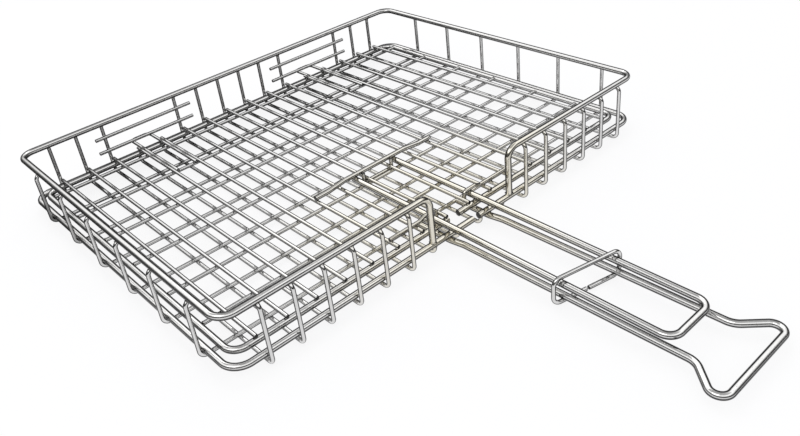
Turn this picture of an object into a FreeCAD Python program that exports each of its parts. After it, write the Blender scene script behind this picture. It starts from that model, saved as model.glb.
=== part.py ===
import FreeCAD, Part
import math
import os

# Wire grill basket with a hinged inner lid and a long double handle.
# Millimetres, +Z up, origin on the table under the middle of the basket
# footprint. The handle points to -Y (front), the hinge side is at +Y (back).
# Every wire is a round rod swept along straight runs and tangent bends.

Vector = FreeCAD.Vector

# ---------------------------------------------------------- shared dimensions
D_FRAME = 5.0            # rim, rings and handles
D_MESH = 3.0             # floor, lid mesh, rungs, tongues, hooks, staple, clip
D_BAR = 4.0              # bar across the inner end of the upper handle
WELD = 0.2               # bite of one wire into the next at a spot weld

# centreline distance between two wires welded side by side
FRAME_TO_FRAME = D_FRAME - WELD
MESH_TO_FRAME = (D_MESH + D_FRAME) / 2.0 - WELD
MESH_TO_MESH = D_MESH - WELD
BAR_TO_FRAME = (D_BAR + D_FRAME) / 2.0 - WELD
BAR_TO_MESH = (D_BAR + D_MESH) / 2.0 - WELD
END_TO_FRAME = D_FRAME / 2.0 - WELD      # wire's end face to a frame wire's axis

HALF_X = 198.0           # rim and bottom ring centrelines
HALF_Y = 152.0
Z_RIM = 48.0
Z_RING = 9.0             # bottom ring
Z_LID_RING = 11.0
RAIL_X = 19.9            # handle rails, both handles

# wires along Y, shared by floor and lid: distances either side of the middle
LONG_PITCH = 23.2
LONG_X = [LONG_PITCH * (i + 0.5) for i in range(8)]

os.makedirs("parts", exist_ok=True)


# -------------------------------------------------------------------- helpers
def centreline(points, radii):
    """Edges of straight runs joined by tangent arcs, one radius per inner point."""
    points = [Vector(*point) for point in points]
    edges = []
    start = points[0]
    for before, corner, after, radius in zip(points, points[1:], points[2:], radii):
        to_before = (before - corner).normalize()
        to_after = (after - corner).normalize()
        cosine = max(-1.0, min(1.0, to_before.dot(to_after)))
        half_angle = math.acos(cosine) / 2.0
        setback = radius / math.tan(half_angle)
        arc_start = corner + to_before * setback
        arc_end = corner + to_after * setback
        bisector = (to_before + to_after).normalize()
        arc_middle = corner + bisector * (radius / math.sin(half_angle) - radius)
        if (arc_start - start).Length > 1e-6:
            edges.append(Part.LineSegment(start, arc_start).toShape())
        edges.append(Part.Arc(arc_start, arc_middle, arc_end).toShape())
        start = arc_end
    if (points[-1] - start).Length > 1e-6:
        edges.append(Part.LineSegment(start, points[-1]).toShape())
    return edges


def rod(points, diameter, radii=()):
    """Round wire along a bent centreline, as one solid."""
    edges = centreline(points, radii)
    start = Vector(*points[0])
    direction = (Vector(*points[1]) - start).normalize()
    disc = Part.Face(Part.Wire(Part.makeCircle(diameter / 2.0, start, direction)))
    body = Part.Wire(edges).makePipe(disc)
    solid = body if body.ShapeType == "Solid" else Part.Solid(body.Shells[0])
    if solid.Volume < 0:
        solid.reverse()
    # A bend too tight for its neighbours gives a broken sweep or a wrong volume.
    expected = math.pi * diameter ** 2 / 4.0 * sum(edge.Length for edge in edges)
    if not solid.isValid() or abs(solid.Volume / expected - 1.0) > 0.02:
        raise RuntimeError("bad wire through %s" % (points,))
    return solid


def symmetric_rod(half, diameter, half_radii):
    """Wire through the half's points, then back through their mirror images in X."""
    mirrored = [(-x, y, z) for x, y, z in reversed(half)]
    return rod(half + mirrored, diameter, half_radii + half_radii[::-1])


def corners(half_x, front, back, z):
    """Rectangle corners from front right round the back to front left."""
    return [(half_x, front, z), (half_x, back, z), (-half_x, back, z), (-half_x, front, z)]


def split_ring(half_x, front, back, z, gap, radius):
    """Flat frame ring with its butt gap (left x, right x) on the front side."""
    gap_left, gap_right = gap
    points = [(gap_right, front, z)] + corners(half_x, front, back, z) + [(gap_left, front, z)]
    return rod(points, D_FRAME, [radius] * 4)


def both_sides(distances):
    return [-x for x in reversed(distances)] + list(distances)


def save(name, *solids):
    shape = solids[0] if len(solids) == 1 else Part.makeCompound(list(solids))
    shape.exportStep("parts/%s.step" % name)


# --------------------------------------------------------------- basket frame
RIM_OPENING = (-36.0, 43.0)      # posts left and right of the handle opening
R_RIM = 11.0
R_POST = 8.5                     # bend from rim into post
Z_POST_END = Z_RING + END_TO_FRAME
RING_GAP = (4.0, 9.3)
R_RING = 13.0


def rim():
    """Rim with both ends turned down as posts onto the bottom ring."""
    left, right = RIM_OPENING
    points = [(right, -HALF_Y, Z_POST_END), (right, -HALF_Y, Z_RIM)]
    points += corners(HALF_X, -HALF_Y, HALF_Y, Z_RIM)
    points += [(left, -HALF_Y, Z_RIM), (left, -HALF_Y, Z_POST_END)]
    return rod(points, D_FRAME, [R_POST] + [R_RIM] * 4 + [R_POST])


save("rim", rim())
save("bottom_ring", split_ring(HALF_X, -HALF_Y, HALF_Y, Z_RING, RING_GAP, R_RING))

# -------------------------------------------- floor wires with their uprights
HANDLE_OPENING_X = LONG_X[0:2]           # no front upright
LADDER_GAP_X = LONG_X[3:5]               # no back upright
FULL_X = [LONG_X[2]] + LONG_X[5:8]
CROSS_PITCH = 46.0
CROSS_Y = [110.0 - CROSS_PITCH * i for i in range(6)]
Z_LONG = D_MESH / 2.0
Z_CROSS = Z_LONG + MESH_TO_MESH
R_CURL = 4.5                             # bend from floor into upright or stub
R_TIP = 4.0                              # bend of the upright's tip under the rim
TIP_TO_RIM = 2.3 / math.sqrt(2.0)        # tip's end to the rim's axis, across and in Z


def upright(half_span):
    """(outward, z) points of a wall upright from its tip down, and its bends.

    It stands outside the frame; its tip leans in at 45 degrees to the rim.
    """
    outside = half_span + MESH_TO_FRAME
    points = [(half_span + TIP_TO_RIM, Z_RIM - TIP_TO_RIM),
              (outside, Z_RIM - MESH_TO_FRAME),
              (outside, Z_LONG)]
    return points, [R_TIP, R_CURL]


def stub():
    """(outward, z) points of a short end up to the bottom ring, and its bend."""
    return [(HALF_Y, Z_RING - END_TO_FRAME), (HALF_Y, Z_LONG)], [R_CURL]


def long_wire(x, front, back):
    """Floor wire along Y between two ends, each an upright or a stub."""
    front_points, front_radii = front
    back_points, back_radii = back
    points = [(x, -outward, z) for outward, z in front_points]
    points += [(x, outward, z) for outward, z in reversed(back_points)]
    return rod(points, D_MESH, front_radii + back_radii[::-1])


def long_wires(distances, front, back):
    return [long_wire(x, front, back) for x in both_sides(distances)]


def cross_wire(y):
    """Floor wire along X, on top of the long wires, with an upright at each end."""
    (tip, bend, foot), radii = upright(HALF_X)
    left = [(-tip[0], y, tip[1]), (-bend[0], y, bend[1]), (-foot[0], y, Z_CROSS)]
    return symmetric_rod(left, D_MESH, radii)


WALL_END = upright(HALF_Y)
save("floor_long_wires", *long_wires(FULL_X, WALL_END, WALL_END))
save("floor_long_wires_handle_side", *long_wires(HANDLE_OPENING_X, stub(), WALL_END))
save("floor_long_wires_ladder_side", *long_wires(LADDER_GAP_X, WALL_END, stub()))
save("floor_cross_wires", *[cross_wire(y) for y in CROSS_Y])

# ------------------------------- ladder rungs, inside the back wall's uprights
RUNG_X = (45.0, 137.0)
RUNG_Y = HALF_Y + MESH_TO_FRAME - MESH_TO_MESH
Z_RUNG_UPPER = 34.5
Z_RUNG_LOWER = 21.9


def rungs(z):
    inner, outer = RUNG_X
    return [rod([(side * inner, RUNG_Y, z), (side * outer, RUNG_Y, z)], D_MESH)
            for side in (-1, 1)]


save("ladder_rungs_upper", *rungs(Z_RUNG_UPPER))
save("ladder_rungs_lower", *rungs(Z_RUNG_LOWER))

# ------------------------------------------------- lower handle, on the tray
Z_LOWER_ROOT = Z_RING - FRAME_TO_FRAME   # passes under the bottom ring
LOWER_HANDLE = [                         # right half: x, y, z from the root out
    (RAIL_X, CROSS_Y[-1] - D_MESH / 2.0 + WELD, Z_LOWER_ROOT),
    (RAIL_X, -152.5, Z_LOWER_ROOT),
    (RAIL_X, -166.0, 6.0),
    (RAIL_X, -337.3, 7.0),
    (43.3, -362.0, 7.0),
]
LOWER_HANDLE_BENDS = [30.0, 30.0, 12.0, 6.5]     # at all but the first point

save("lower_handle", symmetric_rod(LOWER_HANDLE, D_FRAME, LOWER_HANDLE_BENDS))

# ------------------------------------------------------------------------ lid
LID_HALF_X = 190.5
LID_FRONT = -140.5
LID_BACK = 146.5
LID_GAP = (-9.6, 0.4)
R_LID = 10.0
Z_LID_LONG = Z_LID_RING + MESH_TO_FRAME
Z_LID_CROSS = Z_LID_LONG - MESH_TO_MESH
LID_LONG_Y = (-142.0, 150.2)             # front and back ends
LID_CROSS_Y = [133.5, 86.5, 37.2, -8.7, -58.6, -102.8]
LID_CROSS_BITE = 0.6                     # cross wire's end into the lid ring
LID_CROSS_END = LID_HALF_X - D_FRAME / 2.0 + LID_CROSS_BITE


def lid_long_wire(x):
    return rod([(x, y, Z_LID_LONG) for y in LID_LONG_Y], D_MESH)


def lid_cross_wire(y):
    return rod([(-LID_CROSS_END, y, Z_LID_CROSS), (LID_CROSS_END, y, Z_LID_CROSS)], D_MESH)


save("lid_ring", split_ring(LID_HALF_X, LID_FRONT, LID_BACK, Z_LID_RING, LID_GAP, R_LID))
save("lid_long_wires", *[lid_long_wire(x) for x in both_sides(LONG_X)])
save("lid_cross_wires", *[lid_cross_wire(y) for y in LID_CROSS_Y])

# -------------------------------------------------------- hinge tongues of the lid
TONGUE_X = (LONG_X[3] + MESH_TO_MESH, LONG_X[4] - MESH_TO_MESH)
TONGUE_Y = (82.5, 169.0)                 # open end, closed end
R_TONGUE = 4.5


def tongue(side):
    """Flat loop that sticks out at the back, under the lower ladder rung."""
    inner, outer = [side * x for x in TONGUE_X]
    start, end = TONGUE_Y
    outline = [(inner, start), (inner, end), (outer, end), (outer, start)]
    return rod([(x, y, Z_LID_LONG) for x, y in outline], D_MESH, [R_TONGUE] * 2)


save("hinge_tongue_left", tongue(-1))
save("hinge_tongue_right", tongue(1))

# --------------------------------------------------- upper handle, on the lid
Z_UPPER = Z_LID_RING + FRAME_TO_FRAME
UPPER_HANDLE = [                         # right half: x, y, z from the root out
    (RAIL_X, -49.0, Z_UPPER),
    (RAIL_X, -150.0, Z_UPPER),
    (RAIL_X, -323.0, 14.1),
]
UPPER_HANDLE_BENDS = [300.0, 8.5]        # slight knee, outer corner

save("upper_handle", symmetric_rod(UPPER_HANDLE, D_FRAME, UPPER_HANDLE_BENDS))

# ------------------------------------- bridges over the upper handle's root
BRIDGE_REACH = LONG_X[2] + 1.2           # outer ends, just past the third long wire
RAMP_FOOT_X = 47.0                       # rear bar's ramp up over the rail
RAMP_X = 31.0                            # rear ramp's top, front hook's ramp foot
HOOK_RAMP_TOP_X = 25.5
DROP_X = LONG_X[0] + MESH_TO_MESH        # legs that go down beside the long wire
REAR_Y = -51.3
FRONT_Y = -134.0
STAPLE_Y = REAR_Y - BAR_TO_MESH
Z_BAR_LOW = Z_LID_LONG + BAR_TO_MESH
Z_BAR_HIGH = Z_UPPER + BAR_TO_FRAME
Z_HOOK_LOW = Z_LID_LONG + MESH_TO_MESH
Z_HOOK_HIGH = Z_UPPER + MESH_TO_FRAME
Z_HOOK_END = 10.8
Z_STAPLE_TOP = Z_HOOK_HIGH + 0.6
R_BAR = 9.0
R_STAPLE = 3.0
HOOK_BENDS = [4.0, 4.0, 3.2]             # ramp foot, ramp top, drop


def rear_bar():
    """Bar across both rails, its ends lower on the lid's long wires."""
    profile = [(BRIDGE_REACH, Z_BAR_LOW), (RAMP_FOOT_X, Z_BAR_LOW), (RAMP_X, Z_BAR_HIGH)]
    return symmetric_rod([(x, REAR_Y, z) for x, z in profile], D_BAR, [R_BAR] * 2)


def rear_staple():
    """U open at the top, in front of the rear bar and between the rails."""
    leg = [(DROP_X, STAPLE_Y, Z_STAPLE_TOP), (DROP_X, STAPLE_Y, Z_LID_CROSS)]
    return symmetric_rod(leg, D_MESH, [R_STAPLE])


def front_hook(side):
    """Wire from the lid mesh up over one rail and down on its inner side."""
    profile = [(BRIDGE_REACH, Z_HOOK_LOW), (RAMP_X, Z_HOOK_LOW),
               (HOOK_RAMP_TOP_X, Z_HOOK_HIGH), (DROP_X, Z_HOOK_HIGH), (DROP_X, Z_HOOK_END)]
    return rod([(side * x, FRONT_Y, z) for x, z in profile], D_MESH, HOOK_BENDS)


save("bridge_bar_rear", rear_bar())
save("bridge_staple_rear", rear_staple())
save("bridge_hook_left", front_hook(-1))
save("bridge_hook_right", front_hook(1))

# --------------------------------------------- sliding clip round both handles
CLIP_CENTRE = (-1.0, -253.0)     # along the clip from its turning point; y of that point
CLIP_TURN = math.radians(-13.0)  # turn of the clip's plane about Z
CLIP_HALF = 26.4                 # half width in the clip's own plane
CLIP_Z = (1.6, 20.4)
CLIP_GAP = (0.0, 1.4)            # butt gap in the bottom run
R_CLIP = 5.5


def slide_clip():
    """Upright rectangular loop, turned a little about Z."""
    shift, centre_y = CLIP_CENTRE
    low, high = CLIP_Z
    gap_left, gap_right = CLIP_GAP
    outline = [(gap_right, low), (CLIP_HALF, low), (CLIP_HALF, high),
               (-CLIP_HALF, high), (-CLIP_HALF, low), (gap_left, low)]
    points = [((across + shift) * math.cos(CLIP_TURN),
               centre_y + (across + shift) * math.sin(CLIP_TURN), z)
              for across, z in outline]
    return rod(points, D_MESH, [R_CLIP] * 4)


save("slide_clip", slide_clip())
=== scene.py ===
# A shallow wire basket with a flat wire lid, two long handles and a slide clip over them.
# The basket is centred on the origin with its floor wires resting on z = 0. The handles
# run out to the front, -Y. The hinge tongues and ladder rungs are at the back, +Y.
# Wires are laid out in millimetres; materials, lights and camera are in metres.
import math
import bpy
import numpy as np
from mathutils import Matrix, Vector


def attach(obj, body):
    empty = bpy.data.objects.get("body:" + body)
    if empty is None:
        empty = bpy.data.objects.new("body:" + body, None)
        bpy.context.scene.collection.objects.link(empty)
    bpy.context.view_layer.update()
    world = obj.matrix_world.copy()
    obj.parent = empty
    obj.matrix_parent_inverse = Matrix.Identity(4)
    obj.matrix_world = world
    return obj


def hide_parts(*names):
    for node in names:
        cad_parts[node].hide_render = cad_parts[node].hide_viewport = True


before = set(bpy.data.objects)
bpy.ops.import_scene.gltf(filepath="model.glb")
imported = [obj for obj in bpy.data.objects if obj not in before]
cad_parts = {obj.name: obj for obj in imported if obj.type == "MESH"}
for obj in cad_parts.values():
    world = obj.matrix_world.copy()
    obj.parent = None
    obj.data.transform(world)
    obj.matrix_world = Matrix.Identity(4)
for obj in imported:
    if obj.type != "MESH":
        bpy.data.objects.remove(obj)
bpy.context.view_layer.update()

MM = 0.001
rng = np.random.default_rng(7)


# ---------------------------------------------------------------- node helpers
class Tree:
    """Empties the node tree of a material or world and adds nodes to it."""

    def __init__(self, owner):
        owner.use_nodes = True
        self.tree = owner.node_tree
        self.tree.nodes.clear()

    def node(self, kind, **settings):
        node = self.tree.nodes.new(kind)
        for key, value in settings.items():
            setattr(node, key, value)
        return node

    def put(self, socket, value):
        """Link a socket, or set a plain value."""
        if isinstance(value, bpy.types.NodeSocket):
            self.tree.links.new(value, socket)
        else:
            socket.default_value = value

    def math(self, operation, first, second=None, clamp=False):
        node = self.node("ShaderNodeMath", operation=operation, use_clamp=clamp)
        self.put(node.inputs[0], first)
        if second is not None:
            self.put(node.inputs[1], second)
        return node.outputs[0]

    def plus(self, first, second):
        return self.math("ADD", first, second)

    def times(self, first, second):
        return self.math("MULTIPLY", first, second)

    def vector(self, operation, first, second=None, scale=None):
        node = self.node("ShaderNodeVectorMath", operation=operation)
        self.put(node.inputs[0], first)
        if second is not None:
            self.put(node.inputs[1], second)
        if scale is not None:
            self.put(node.inputs[3], scale)
        return node.outputs["Value" if operation == "DOT_PRODUCT" else "Vector"]

    def noise(self, place, scale, detail, rough):
        node = self.node("ShaderNodeTexNoise")
        self.put(node.inputs["Vector"], place)
        node.inputs["Scale"].default_value = scale
        node.inputs["Detail"].default_value = detail
        node.inputs["Roughness"].default_value = rough
        return node.outputs["Fac"]

    def remap(self, value, span, to=(0.0, 1.0), smooth=False):
        node = self.node("ShaderNodeMapRange")
        node.interpolation_type = "SMOOTHSTEP" if smooth else "LINEAR"
        self.put(node.inputs["Value"], value)
        for key, limit in zip(("From Min", "From Max", "To Min", "To Max"), (*span, *to)):
            self.put(node.inputs[key], limit)
        return node.outputs["Result"]

    def mix(self, factor, first, second):
        node = self.node("ShaderNodeMix", data_type="RGBA", blend_type="MIX")
        self.put(node.inputs[0], factor)
        self.put(node.inputs[6], first)
        self.put(node.inputs[7], second)
        return node.outputs[2]

    def mix_shader(self, factor, first, second):
        node = self.node("ShaderNodeMixShader")
        self.put(node.inputs[0], factor)
        self.put(node.inputs[1], first)
        self.put(node.inputs[2], second)
        return node.outputs[0]

    def emission(self, colour):
        node = self.node("ShaderNodeEmission")
        self.put(node.inputs[0], colour)
        return node.outputs[0]

    def coordinate(self, kind):
        return self.node("ShaderNodeTexCoord").outputs[kind]

    def split(self, vector):
        node = self.node("ShaderNodeSeparateXYZ")
        self.put(node.inputs[0], vector)
        return node.outputs


def grey(value, blue=1.0):
    return (value, value, value * blue, 1)


# --------------------------------------------------------------- steel material
# painted dark edge: base colour darkened where the wire turns away from the viewer, a painted
# reflection of the dark surroundings
PAINTED_EDGE_SPAN = (0.09, 0.31)           # turn away from the viewer over which the painted dark edge sets in
PAINTED_EDGE_STRENGTH = 0.97
PAINTED_EDGE_COLOUR = (0.03, 0.03, 0.031, 1)
PIT_COLOUR = (0.25, 0.24, 0.23, 1)
HEAT_Y = -0.125                   # centre of the straw heat tint, on x = 0
HEAT_SCALE = (9.0, 10.0)          # x and y, per metre of distance from that centre
HEAT_SPAN = (0.35, 1.35)          # scaled distance over which the tint fades out
BUMP_HEIGHT = 0.00012


def shaded(colour, factors):
    return (*[channel * factor for channel, factor in zip(colour, factors)], 1)


def painted_dark_edge(t, geometry):
    """Mask of the painted dark edge, a painted reflection of the dark surroundings: 1 where the
    surface turns away within the wire's cross-section, else 0.
    """
    wire_dir = t.node("ShaderNodeAttribute", attribute_name="wire_dir").outputs["Vector"]
    to_world = t.node("ShaderNodeVectorTransform", vector_type="VECTOR",
                      convert_from="OBJECT", convert_to="WORLD")
    t.put(to_world.inputs[0], wire_dir)
    along = to_world.outputs[0]
    view = geometry.outputs["Incoming"]
    part = t.vector("SCALE", along, scale=t.vector("DOT_PRODUCT", view, along))
    across = t.vector("NORMALIZE", t.vector("SUBTRACT", view, part))
    facing = t.math("ABSOLUTE", t.vector("DOT_PRODUCT", across, geometry.outputs["Normal"]))
    return t.remap(t.math("SUBTRACT", 1.0, facing), span=PAINTED_EDGE_SPAN, smooth=True)


def heat_tint(t, place, smudge):
    """Strongest around the front middle, where the handles are welded in."""
    axes = t.split(place)
    dx = t.times(axes["X"], HEAT_SCALE[0])
    dy = t.times(t.plus(axes["Y"], -HEAT_Y), HEAT_SCALE[1])
    distance = t.math("SQRT", t.plus(t.times(dx, dx), t.times(dy, dy)))
    return t.times(t.remap(distance, span=HEAT_SPAN, to=(1.0, 0.0), smooth=True),
                   t.remap(smudge, span=(0.3, 0.7), to=(0.7, 1.0)))


def steel(name, colour, rough, grain):
    """Drawn stainless wire: draw lines, smudges, pits, a heat tint and a painted dark edge, a
    painted reflection of the dark surroundings where the wire turns away.
    """
    material = bpy.data.materials.new(name)
    t = Tree(material)
    output = t.node("ShaderNodeOutputMaterial")
    shader = t.node("ShaderNodeBsdfPrincipled")
    t.put(output.inputs[0], shader.outputs[0])
    geometry = t.node("ShaderNodeNewGeometry")
    place = t.coordinate("Object")

    # the normal sweeps round a wire, so noise over it runs along the wire
    around = t.vector("ADD", geometry.outputs["Normal"], t.vector("SCALE", place, scale=1.2))
    lines = t.noise(around, scale=26.0, detail=3.0, rough=0.6)
    fine = t.noise(around, scale=90.0, detail=2.0, rough=0.6)
    smudge = t.noise(place, scale=34.0, detail=4.0, rough=0.55)
    cloud = t.noise(place, scale=9.0, detail=3.0, rough=0.5)
    pits = t.remap(t.noise(place, scale=2600.0, detail=1.0, rough=0.4), span=(0.69, 0.76))

    # colour: each layer is mixed over the last by its mask times its strength
    base = t.mix(t.remap(cloud, span=(0.35, 0.65)),
                 shaded(colour, factors=(0.955, 0.955, 0.955)), (*colour, 1))
    layers = (
        # mask, strength, colour
        (t.remap(lines, span=(0.35, 0.7)), 0.18, shaded(colour, factors=(0.80, 0.80, 0.81))),
        (heat_tint(t, place, smudge), 0.85, shaded(colour, factors=(0.99, 0.94, 0.79))),
        (pits, 0.5, PIT_COLOUR),
        # painted dark edge: a painted reflection of the dark surroundings, laid into the base
        # colour
        (painted_dark_edge(t, geometry), PAINTED_EDGE_STRENGTH, PAINTED_EDGE_COLOUR),
    )
    for mask, strength, layer_colour in layers:
        base = t.mix(t.times(mask, strength), base, layer_colour)
    t.put(shader.inputs["Base Color"], base)
    shader.inputs["Metallic"].default_value = 1.0

    # roughness: (variation, amount) added in turn
    for variation, amount in (
            (t.remap(smudge, span=(0.35, 0.75), to=(-0.3, 1.0)), 0.045),
            (t.remap(lines, span=(0.3, 0.7), to=(-0.5, 0.5)), 0.04)):
        rough = t.plus(rough, t.times(variation, amount))
    t.put(shader.inputs["Roughness"], rough)

    # height weights: draw lines 0.6, fine lines 0.25, pits sunk 0.8, smudges 0.9
    height = t.plus(t.times(lines, 0.6), t.times(fine, 0.25))
    height = t.math("SUBTRACT", height, t.times(pits, 0.8))
    height = t.plus(height, t.times(smudge, 0.9))
    bump = t.node("ShaderNodeBump")
    bump.inputs["Strength"].default_value = grain
    bump.inputs["Distance"].default_value = BUMP_HEIGHT
    t.put(bump.inputs["Height"], height)
    t.put(shader.inputs["Normal"], bump.outputs[0])
    return material


STEEL_FRAME = steel("steel_frame_wire", colour=(0.80, 0.795, 0.785), rough=0.07, grain=0.35)
STEEL_MESH = steel("steel_mesh_wire", colour=(0.77, 0.767, 0.76), rough=0.085, grain=0.35)
STEEL_WELD = steel("steel_weld_bead", colour=(0.72, 0.71, 0.69), rough=0.22, grain=0.9)


# ---------------------------------------------------------------- mesh builders
ARC_STEP = 5.0                    # degrees between rings in a bend
STRAIGHT_STEP = 9.0               # least distance between rings on a straight
END_ANGLES = [math.radians(a) for a in (0.0, 22.5, 45.0, 67.5, 90.0)]
BEAD_SIDES, BEAD_BANDS = 18, 9


class Store:
    """Vertices, faces and, for wires, the wire direction at each vertex."""

    def __init__(self):
        self.verts, self.faces, self.dirs = [], [], []


def unit(vector):
    return vector / np.linalg.norm(vector)


def side_axis(axis):
    """A unit vector square to the axis."""
    helper = np.array([0.0, 0.0, 1.0]) if abs(axis[2]) < 0.9 else np.array([1.0, 0.0, 0.0])
    return unit(np.cross(axis, helper))


def centreline(corners, radii):
    """Points along the wire, with each inner corner rounded to its bend radius."""
    corners = [np.array(corner, float) for corner in corners]
    line = [corners[0]]

    def straight_to(end):
        start = line[-1]
        length = np.linalg.norm(end - start)
        if length > 1e-6:
            count = max(1, int(length / STRAIGHT_STEP))
            for i in range(1, count + 1):
                line.append(start + (end - start) * i / count)

    for before, corner, after, radius in zip(corners, corners[1:], corners[2:], radii):
        to_before = unit(before - corner)
        to_after = unit(after - corner)
        angle = math.acos(max(-1.0, min(1.0, float(to_before @ to_after))))
        arc_start = corner + to_before * (radius / math.tan(angle / 2.0))
        centre = corner + unit(to_before + to_after) * (radius / math.sin(angle / 2.0))
        straight_to(arc_start)
        turn = math.pi - angle
        count = max(3, int(math.degrees(turn) / ARC_STEP))
        outward = (arc_start - centre) / radius
        for i in range(1, count + 1):
            swept = turn * i / count
            line.append(centre + radius * (math.cos(swept) * outward
                                           - math.sin(swept) * to_before))
    straight_to(corners[-1])
    return np.array(line)


def tube(store, corners, diameter, radii, sides, rounding):
    """Sweep a round wire; radii is one bend radius for all corners, or a list."""
    if not isinstance(radii, list):
        radii = [radii] * (len(corners) - 2)
    line = centreline(corners, radii)
    tangents = np.gradient(line, axis=0)
    tangents /= np.linalg.norm(tangents, axis=1)[:, None]
    frames = []
    side = side_axis(tangents[0])
    for tangent in tangents:
        side = unit(side - tangent * (side @ tangent))
        frames.append((side, np.cross(tangent, side)))

    rings = []                    # centre, frame, radius, tangent
    radius = diameter / 2.0

    def rounded_end(index, inward, angles):
        for a in angles:
            rings.append((line[index] + inward * rounding * (1 - math.cos(a)), frames[index],
                          radius - rounding + rounding * math.sin(a), tangents[index]))

    rounded_end(0, tangents[0], END_ANGLES)
    for i in range(1, len(line) - 1):
        rings.append((line[i], frames[i], radius, tangents[i]))
    rounded_end(-1, -tangents[-1], END_ANGLES[::-1])

    verts, faces = store.verts, store.faces
    base = len(verts)
    for centre, (u, v), ring_radius, tangent in rings:
        for k in range(sides):
            a = 2 * math.pi * k / sides
            verts.append(centre + u * (ring_radius * math.cos(a))
                         + v * (ring_radius * math.sin(a)))
            store.dirs.append(tangent)
    for i in range(len(rings) - 1):
        a = base + i * sides
        b = a + sides
        for k in range(sides):
            k2 = (k + 1) % sides
            faces.append((a + k, a + k2, b + k2, b + k))

    # centre points that close the two flat ends
    first = len(verts)
    verts.extend([rings[0][0], rings[-1][0]])
    store.dirs.extend([np.zeros(3), np.zeros(3)])
    last = base + (len(rings) - 1) * sides
    for k in range(sides):
        k2 = (k + 1) % sides
        faces.append((first, base + k2, base + k))
        faces.append((first + 1, last + k, last + k2))


def bead(store, centre, axis, size):
    """Small uneven cushion of squeezed-out weld metal, flat along the axis."""
    axis = unit(np.array(axis, float))
    u = side_axis(axis)
    v = np.cross(axis, u)
    phase = rng.uniform(0, 2 * math.pi, 4)
    wobble = rng.uniform(0.04, 0.12, 2)
    wide = size[0] * rng.uniform(0.9, 1.12)
    thick = size[1] * rng.uniform(0.88, 1.12)
    verts, faces = store.verts, store.faces
    base = len(verts)
    centre = np.array(centre, float)
    for i in range(1, BEAD_BANDS):
        tilt = math.pi * i / BEAD_BANDS
        for k in range(BEAD_SIDES):
            a = 2 * math.pi * k / BEAD_SIDES
            radius = math.sin(tilt) * wide * (1 + wobble[0] * math.sin(2 * a + phase[0])
                                              + wobble[1] * math.sin(3 * a + phase[1] + 2 * tilt))
            height = math.cos(tilt) * thick * (1 + 0.08 * math.sin(2 * a + phase[2]))
            verts.append(centre + u * (radius * math.cos(a)) + v * (radius * math.sin(a))
                         + axis * height)
    top = len(verts)
    bottom = top + 1
    verts.extend([centre + axis * thick, centre - axis * thick])
    for i in range(BEAD_BANDS - 2):
        a = base + i * BEAD_SIDES
        b = a + BEAD_SIDES
        for k in range(BEAD_SIDES):
            k2 = (k + 1) % BEAD_SIDES
            faces.append((a + k, b + k, b + k2, a + k2))
    last = base + (BEAD_BANDS - 2) * BEAD_SIDES
    for k in range(BEAD_SIDES):
        k2 = (k + 1) % BEAD_SIDES
        faces.append((top, base + k, base + k2))
        faces.append((bottom, last + k2, last + k))


def mesh_object(name, store, material, body):
    mesh = bpy.data.meshes.new(name)
    mesh.from_pydata([tuple(p * MM for p in vert) for vert in store.verts], [], store.faces)
    mesh.update()
    directions = store.dirs or [np.zeros(3)] * len(store.verts)
    attribute = mesh.attributes.new("wire_dir", "FLOAT_VECTOR", "POINT")
    attribute.data.foreach_set("vector", np.array(directions, np.float32).ravel())
    mesh.shade_smooth()
    mesh.materials.append(material)
    obj = bpy.data.objects.new(name, mesh)
    bpy.context.scene.collection.objects.link(obj)
    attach(obj, body)
    return obj


# ------------------------------------------------------------- dimensions in mm
FRAME_D, MESH_D, BAR_D = 5.0, 3.0, 4.0      # wire diameters
SINK = 0.2                                  # how far welded wires sink into each other


def beyond(at, wire_d, other_d=0.0):
    """Centre of a wire welded on the plus side of one centred at `at`."""
    return at + (wire_d + other_d) / 2 - SINK


def short_of(at, wire_d, other_d=0.0):
    """Centre of a wire welded on the minus side of one centred at `at`."""
    return at - (wire_d + other_d) / 2 + SINK


def both(values):
    return [-v for v in reversed(values)] + list(values)


# basket: half sizes and heights of the frame wire centrelines
HALF_X, HALF_Y, RIM_Z, RING_Z = 198.0, 152.0, 48.0, 9.0
RIM_END_X = (-36.0, 43.0)                   # where the rim's ends turn down at the front
RING_GAP = (4.0, 9.3)                       # x of the bottom ring's two ends
LONG_X = [23.2 * (i + 0.5) for i in range(8)]
HANDLE_X = LONG_X[0:2]                      # these stop at the ring at the front
LADDER_X = LONG_X[3:5]                      # these stop at the ring at the back
FULL_X = [LONG_X[2]] + LONG_X[5:]           # these reach the rim at both ends
ALL_X = both(LONG_X)
CROSS_Y = [110.0, 64.0, 18.0, -28.0, -74.0, -120.0]
LONG_Z = MESH_D / 2
CROSS_Z = beyond(LONG_Z, MESH_D, MESH_D)
OUT = beyond(0.0, FRAME_D, MESH_D)          # mesh wire outside a frame wire
TIP_CUT = 2.3                               # sloping tip stops this far short of full reach
RUNG_X = (45.0, 137.0)
RUNG_Y = short_of(HALF_Y + OUT, MESH_D, MESH_D)
RUNG_Z = (34.5, 21.9)

# lid
LID_X, LID_FRONT, LID_BACK, LID_Z = 190.5, -140.5, 146.5, 11.0
LID_GAP = (-9.6, 0.4)                       # x of the lid ring's two ends
LID_LONG_Y = (-142.0, 150.2)
LID_LONG_Z = beyond(LID_Z, FRAME_D, MESH_D)
LID_CROSS_Y = [133.5, 86.5, 37.2, -8.7, -58.6, -102.8]
LID_CROSS_X = LID_X - 1.9                   # end of the cross wires
LID_CROSS_Z = short_of(LID_LONG_Z, MESH_D, MESH_D)
TONGUE_X = (beyond(LONG_X[3], MESH_D, MESH_D), short_of(LONG_X[4], MESH_D, MESH_D))
TONGUE_Y = (82.5, 169.0)

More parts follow.
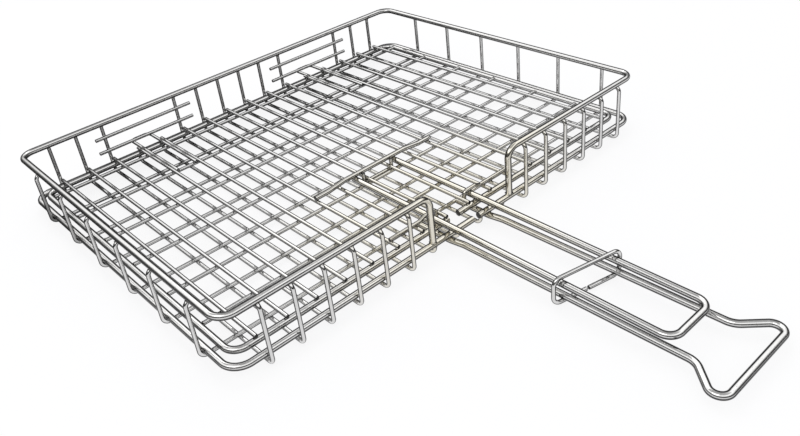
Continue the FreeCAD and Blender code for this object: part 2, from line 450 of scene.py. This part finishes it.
# handles and the bridges that tie the upper handle to the lid
RAIL_X = 19.9
LOWER_HANDLE_Y = -121.3                     # inner end of the lower handle
LOWER_HANDLE_Z = short_of(RING_Z, FRAME_D, FRAME_D)
UPPER_HANDLE_Z = beyond(LID_Z, FRAME_D, FRAME_D)
BAR_Y, HOOK_Y = -51.3, -134.0
BRIDGE_X = LONG_X[2] + 1.2                  # outer ends of bar and hooks
BRIDGE_RISE_X = 31.0
BAR_LOW_Z = beyond(LID_LONG_Z, MESH_D, BAR_D)
BAR_HIGH_Z = beyond(UPPER_HANDLE_Z, FRAME_D, BAR_D)
HOOK_LOW_Z = beyond(LID_LONG_Z, MESH_D, MESH_D)
HOOK_HIGH_Z = beyond(UPPER_HANDLE_Z, FRAME_D, MESH_D)
DROP_X = beyond(LONG_X[0], MESH_D, MESH_D)
STAPLE_Y = short_of(BAR_Y, BAR_D, MESH_D)

# slide clip
CLIP_Y, CLIP_TURN = -253.0, math.radians(-13.0)
CLIP_SHIFT = -1.0
CLIP_HALF, CLIP_LOW, CLIP_HIGH = 26.4, 1.6, 20.4


# -------------------------------------------------------------------- the wires
def build(name, body, diameter, wires):
    """One object from several wires, each given as (corners, bend radii)."""
    heavy = diameter == FRAME_D
    store = Store()
    for corners, radii in wires:
        tube(store, corners, diameter, radii,
             sides=36 if heavy else 26, rounding=0.45 if heavy else 0.35)
    obj = mesh_object(name + "_wire", store, STEEL_FRAME if heavy else STEEL_MESH,
                      body)
    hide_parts(name)


def mirrored(half):
    """Follow half a wire, then its reflection in x back to the start."""
    return half + [(-x, y, z) for x, y, z in reversed(half)]


def ring(gap, half_x, front, back, z):
    return [(gap[1], front, z), (half_x, front, z), (half_x, back, z),
            (-half_x, back, z), (-half_x, front, z), (gap[0], front, z)]


def tip(side):
    """(outward place, z) of the upright's top and of the end sloping in over the rim."""
    out, z = side + OUT, RIM_Z - OUT
    reach = math.hypot(OUT, OUT)
    slope = OUT * ((reach - TIP_CUT) / reach)
    return [(out, z), (out - slope, z + slope)]


def long_wire(x, front, back):
    """Floor wire along y; front and back say whether that end reaches the rim."""
    def end(to_rim, s):
        if to_rim:
            corners = [(x, s * (HALF_Y + OUT), LONG_Z)]
            return corners + [(x, s * y, z) for y, z in tip(HALF_Y)], [4.5, 4.0]
        return [(x, s * HALF_Y, LONG_Z), (x, s * HALF_Y, short_of(RING_Z, FRAME_D))], [4.5]

    front_end, front_radii = end(front, -1)
    back_end, back_radii = end(back, 1)
    return front_end[::-1] + back_end, front_radii[::-1] + back_radii


def cross_wire(y):
    left = [(-x, y, z) for x, z in reversed(tip(HALF_X))] + [(-(HALF_X + OUT), y, CROSS_Z)]
    return mirrored(left), [4.0, 4.5, 4.5, 4.0]


def basket_wires():
    left, right = RIM_END_X
    foot = beyond(RING_Z, FRAME_D)
    rim = [(right, -HALF_Y, foot), (right, -HALF_Y, RIM_Z), (HALF_X, -HALF_Y, RIM_Z),
           (HALF_X, HALF_Y, RIM_Z), (-HALF_X, HALF_Y, RIM_Z), (-HALF_X, -HALF_Y, RIM_Z),
           (left, -HALF_Y, RIM_Z), (left, -HALF_Y, foot)]
    build("rim", "basket", FRAME_D, [(rim, [8.5, 11, 11, 11, 11, 8.5])])
    build("bottom_ring", "basket", FRAME_D,
          [(ring(RING_GAP, HALF_X, -HALF_Y, HALF_Y, RING_Z), 13.0)])
    for suffix, places, front, back in (("", FULL_X, True, True),
                                        ("_handle_side", HANDLE_X, False, True),
                                        ("_ladder_side", LADDER_X, True, False)):
        build("floor_long_wires" + suffix, "basket", MESH_D,
              [long_wire(x, front, back) for x in both(places)])
    build("floor_cross_wires", "basket", MESH_D, [cross_wire(y) for y in CROSS_Y])
    for level, z in zip(("upper", "lower"), RUNG_Z):
        build("ladder_rungs_" + level, "basket", MESH_D,
              [([(s * x, RUNG_Y, z) for x in RUNG_X], None) for s in (-1, 1)])
    handle = [(RAIL_X, LOWER_HANDLE_Y, LOWER_HANDLE_Z), (RAIL_X, -152.5, LOWER_HANDLE_Z),
              (RAIL_X, -166.0, 6.0), (RAIL_X, -337.3, 7.0), (43.3, -362.0, 7.0)]
    build("lower_handle", "basket", FRAME_D,
          [(mirrored(handle), [30, 30, 12, 6.5, 6.5, 12, 30, 30])])


def lid_wires():
    build("lid_ring", "lid", FRAME_D, [(ring(LID_GAP, LID_X, LID_FRONT, LID_BACK, LID_Z), 10.0)])
    build("lid_long_wires", "lid", MESH_D,
          [([(x, y, LID_LONG_Z) for y in LID_LONG_Y], None) for x in ALL_X])
    build("lid_cross_wires", "lid", MESH_D,
          [([(-LID_CROSS_X, y, LID_CROSS_Z), (LID_CROSS_X, y, LID_CROSS_Z)], None)
           for y in LID_CROSS_Y])
    inner, outer = TONGUE_X
    start, end = TONGUE_Y
    for side, s in (("left", -1), ("right", 1)):
        corners = [(s * x, y, LID_LONG_Z) for x, y in
                   ((inner, start), (inner, end), (outer, end), (outer, start))]
        build("hinge_tongue_" + side, "lid", MESH_D, [(corners, 4.5)])
    handle = [(RAIL_X, -49.0, UPPER_HANDLE_Z), (RAIL_X, -150.0, UPPER_HANDLE_Z),
              (RAIL_X, -323.0, 14.1)]
    build("upper_handle", "lid", FRAME_D, [(mirrored(handle), [300, 8.5, 8.5, 300])])
    bar = [(BRIDGE_X, BAR_Y, BAR_LOW_Z), (47.0, BAR_Y, BAR_LOW_Z),
           (BRIDGE_RISE_X, BAR_Y, BAR_HIGH_Z)]
    build("bridge_bar_rear", "lid", BAR_D, [(mirrored(bar), 9.0)])
    staple = [(DROP_X, STAPLE_Y, HOOK_HIGH_Z + 0.6), (DROP_X, STAPLE_Y, LID_CROSS_Z)]
    build("bridge_staple_rear", "lid", MESH_D, [(mirrored(staple), 3.0)])
    hook = [(BRIDGE_X, HOOK_LOW_Z), (BRIDGE_RISE_X, HOOK_LOW_Z), (25.5, HOOK_HIGH_Z),
            (DROP_X, HOOK_HIGH_Z), (DROP_X, 10.8)]
    for side, s in (("left", -1), ("right", 1)):
        build("bridge_hook_" + side, "lid", MESH_D,
              [([(s * x, HOOK_Y, z) for x, z in hook], [4.0, 4.0, 3.2])])


def clip_wire():
    """Upright loop round both handles, turned a little about z."""
    loop = ((1.4, CLIP_LOW), (CLIP_HALF, CLIP_LOW), (CLIP_HALF, CLIP_HIGH),
            (-CLIP_HALF, CLIP_HIGH), (-CLIP_HALF, CLIP_LOW), (0.0, CLIP_LOW))
    corners = []
    for across, z in loop:
        across = across + CLIP_SHIFT
        corners.append((across * math.cos(CLIP_TURN),
                        CLIP_Y + across * math.sin(CLIP_TURN), z))
    build("slide_clip", "clip", MESH_D, [(corners, 5.5)])


basket_wires()
lid_wires()
clip_wire()

# ------------------------------------------------------------- spot-weld beads
FRAME_SEAT = (FRAME_D - SINK) / 2           # wire centre to the middle of its weld
MESH_SEAT = (MESH_D - SINK) / 2
RIM_SEAT = 1.75                             # the same on the rim, along each of two axes
# bead (half width, half thickness) by joint
MESH_BEAD, BRIDGE_BEAD = (1.15, 0.42), (1.2, 0.42)
RING_BEAD, RING_FOOT_BEAD, RIM_BEAD = (1.5, 0.5), (1.8, 0.5), (1.7, 0.62)
RIM_END_BEAD, HANDLE_BEAD = (3.0, 0.7), (2.0, 0.6)
LID_RING_BEAD, LID_SIDE_BEAD = (1.45, 0.5), (1.75, 0.6)
HANDLE_CROSS_BEAD, HANDLE_TOP_BEAD = (1.5, 0.6), (1.6, 0.5)


def basket_beads():
    store = Store()
    for x in ALL_X:
        for y in CROSS_Y:
            bead(store, (x, y, (LONG_Z + CROSS_Z) / 2), (0, 0, 1), MESH_BEAD)
        for s, stopped in ((-1, HANDLE_X), (1, LADDER_X)):
            if abs(x) in stopped:
                bead(store, (x, s * HALF_Y, RING_Z - FRAME_SEAT), (0, 0, 1), RING_FOOT_BEAD)
            else:
                bead(store, (x, s * (HALF_Y + FRAME_SEAT), RING_Z), (0, s, 0), RING_BEAD)
                bead(store, (x, s * (HALF_Y + RIM_SEAT), RIM_Z - RIM_SEAT), (0, s, -1), RIM_BEAD)
    for y in CROSS_Y:
        for s in (-1, 1):
            bead(store, (s * (HALF_X + FRAME_SEAT), y, RING_Z), (s, 0, 0), RING_BEAD)
            bead(store, (s * (HALF_X + RIM_SEAT), y, RIM_Z - RIM_SEAT), (s, 0, -1), RIM_BEAD)
    for s in (-1, 1):
        for x in FULL_X[:2]:
            for z in RUNG_Z:
                bead(store, (s * x, RUNG_Y + MESH_SEAT, z), (0, 1, 0), MESH_BEAD)
        bead(store, (s * RAIL_X, -HALF_Y, RING_Z - FRAME_SEAT), (0, 0, 1), HANDLE_BEAD)
        bead(store, (s * RAIL_X, LOWER_HANDLE_Y - 0.1, LOWER_HANDLE_Z), (0, 1, 0), HANDLE_BEAD)
    for x in RIM_END_X:
        bead(store, (x, -HALF_Y, RING_Z + FRAME_SEAT), (0, 0, 1), RIM_END_BEAD)
    mesh_object("basket_weld_beads", store, STEEL_WELD, "basket")


def lid_beads():
    store = Store()

    def flat(x, y, z, size):
        bead(store, (x, y, z), (0, 0, 1), size)

    mesh_z = (LID_LONG_Z + LID_CROSS_Z) / 2
    ring_z = LID_Z + FRAME_SEAT
    for x in ALL_X:
        for y in LID_CROSS_Y:
            flat(x, y, mesh_z, MESH_BEAD)
        for y in (LID_FRONT, LID_BACK):
            flat(x, y, ring_z, LID_RING_BEAD)
    for y in LID_CROSS_Y:
        for s in (-1, 1):
            bead(store, (s * (LID_X - FRAME_SEAT), y, LID_CROSS_Z), (1, 0, 0), LID_SIDE_BEAD)
    for s in (-1, 1):
        for x in TONGUE_X:
            for y in LID_CROSS_Y[:2]:
                flat(s * x, y, mesh_z, MESH_BEAD)
            flat(s * x, LID_BACK, ring_z, LID_RING_BEAD)
        for y, size in ((LID_FRONT, HANDLE_BEAD), (LID_CROSS_Y[5], HANDLE_CROSS_BEAD),
                        (LID_CROSS_Y[4], HANDLE_CROSS_BEAD)):
            flat(s * RAIL_X, y, UPPER_HANDLE_Z - FRAME_SEAT, size)
        for y, places in ((BAR_Y, LONG_X[2:3]), (HOOK_Y, LONG_X[1:3])):
            flat(s * RAIL_X, y, UPPER_HANDLE_Z + FRAME_SEAT, HANDLE_TOP_BEAD)
            for x in places:
                flat(s * x, y, LID_LONG_Z + MESH_SEAT, BRIDGE_BEAD)
    mesh_object("lid_weld_beads", store, STEEL_WELD, "lid")


basket_beads()
lid_beads()

# -------------------------------------------------------------------- the floor
FLOOR_HALF, FLOOR_Z = 6.0, -0.0002
MIRROR_Y = (-0.04, 0.13)          # where the painted glow, as mirrored in the wires, fades out
MIRROR_NEAR, MIRROR_FAR = 0.90, 0.10
PAPER_COLOURS = (0.968, 0.972, 0.98, 1), (0.985, 0.985, 0.985, 1)
GLOW_COLOUR = (0.985, 0.985, 0.99, 1)
PAPER_GLOW = 0.86                 # share of glow seen by the camera, keeps shadows faint


def floor_material():
    material = bpy.data.materials.new("pale_floor")
    t = Tree(material)
    output = t.node("ShaderNodeOutputMaterial")
    shader = t.node("ShaderNodeBsdfPrincipled")
    place = t.coordinate("Object")
    paper = t.noise(place, scale=420.0, detail=3.0, rough=0.6)
    t.put(shader.inputs["Base Color"], t.mix(t.remap(paper, span=(0.3, 0.7)), *PAPER_COLOURS))
    shader.inputs["Roughness"].default_value = 0.75
    shader.inputs["Specular IOR Level"].default_value = 0.1
    # painted reflection: reflections see a bright glow painted on the floor that fades out towards
    # the back
    fade = t.remap(t.split(place)["Y"], span=MIRROR_Y, smooth=True)
    painted_reflection = t.emission(t.mix(fade, grey(MIRROR_NEAR, blue=1.01), grey(MIRROR_FAR)))
    rays = t.node("ShaderNodeLightPath").outputs
    lit = t.mix_shader(rays["Is Glossy Ray"], shader.outputs[0], painted_reflection)
    glow = t.emission(GLOW_COLOUR)
    t.put(output.inputs[0],
          t.mix_shader(t.times(rays["Is Camera Ray"], PAPER_GLOW), lit, glow))
    return material


def build_floor():
    material = floor_material()
    mesh = bpy.data.meshes.new("floor")
    corners = [(x * FLOOR_HALF, y * FLOOR_HALF, 0) for x, y in ((-1, -1), (1, -1), (1, 1), (-1, 1))]
    mesh.from_pydata(corners, [], [(0, 1, 2, 3)])
    floor = bpy.data.objects.new("floor", mesh)
    bpy.context.scene.collection.objects.link(floor)
    floor.location.z = FLOOR_Z
    mesh.materials.append(material)


build_floor()

# -------------------------------------------------------------------- the world
DOME = 0.97                       # even white light for all but reflections
# the sky as reflected: (height, brightness), dark at the horizon
SKY_STOPS = [(0.0, 0.04), (0.34, 0.07), (0.50, 0.35), (0.62, 1.15), (0.78, 1.35),
             (0.88, 0.60), (1.0, 0.45)]
BACK_LIFT = 0.16                  # the bright sky reaches lower towards the back


def build_world():
    world = bpy.data.worlds.new("studio")
    bpy.context.scene.world = world
    t = Tree(world)
    output = t.node("ShaderNodeOutputWorld")
    background = t.node("ShaderNodeBackground")
    t.put(output.inputs[0], background.outputs[0])
    axes = t.split(t.coordinate("Generated"))
    sky = t.node("ShaderNodeValToRGB")
    lift = t.times(t.math("MAXIMUM", axes["Y"], 0.0), BACK_LIFT)
    t.put(sky.inputs[0], t.math("ADD", axes["Z"], lift, clamp=True))
    sky.color_ramp.interpolation = "EASE"
    stops = sky.color_ramp.elements
    stops.remove(stops[-1])
    stops[0].position = SKY_STOPS[0][0]
    stops[0].color = grey(SKY_STOPS[0][1])
    for position, brightness in SKY_STOPS[1:]:
        stops.new(position).color = grey(brightness)
    glossy = t.node("ShaderNodeLightPath").outputs["Is Glossy Ray"]
    t.put(background.inputs[0], t.mix(glossy, grey(DOME, blue=1.01), sky.outputs[0]))
    background.inputs[1].default_value = 1.0


build_world()


# ------------------------------------------------------------ lights and camera
def softbox(name, place, target, size, power):
    data = bpy.data.lights.new(name, "AREA")
    data.shape = "RECTANGLE"
    data.size, data.size_y = size
    data.energy = power
    light = bpy.data.objects.new(name, data)
    bpy.context.scene.collection.objects.link(light)
    light.location = place
    light.rotation_mode = "QUATERNION"
    light.rotation_quaternion = (Vector(target) - Vector(place)).to_track_quat("-Z", "Y")


softbox("key_soft", place=(0.55, 1.0, 1.7), target=(0, 0, 0), size=(1.5, 1.0), power=6)
softbox("fill_soft", place=(-1.3, -0.3, 1.5), target=(0, -0.05, 0), size=(1.2, 1.2), power=4)


def build_camera(place, azimuth, elevation, roll, lens, shift):
    """Angles in degrees; azimuth is measured from the front, -Y, towards +X."""
    data = bpy.data.cameras.new("camera")
    camera = bpy.data.objects.new("camera", data)
    bpy.context.scene.collection.objects.link(camera)
    azimuth, elevation, roll = (math.radians(a) for a in (azimuth, elevation, roll))
    back = Vector((math.sin(azimuth) * math.cos(elevation),
                   -math.cos(azimuth) * math.cos(elevation), math.sin(elevation)))
    right = (-back).cross(Vector((0, 0, 1))).normalized()
    up = right.cross(-back)
    rolled_right = math.cos(roll) * right + math.sin(roll) * up
    rolled_up = -math.sin(roll) * right + math.cos(roll) * up
    pose = Matrix((rolled_right, rolled_up, back)).transposed().to_4x4()
    pose.translation = Vector(place)
    camera.matrix_world = pose
    data.sensor_width = 36.0
    data.lens = lens
    data.shift_x, data.shift_y = shift
    data.clip_start, data.clip_end = 0.02, 50
    bpy.context.scene.camera = camera


build_camera(place=(-0.32734, -0.48006, 0.32400), azimuth=-38.95, elevation=31.91, roll=-6.98,
             lens=35.478, shift=(0.0032625, -0.027075))

view = bpy.context.scene.view_settings
view.view_transform = "Standard"
view.look = "None"
view.exposure = 0.0
view.gamma = 1.0
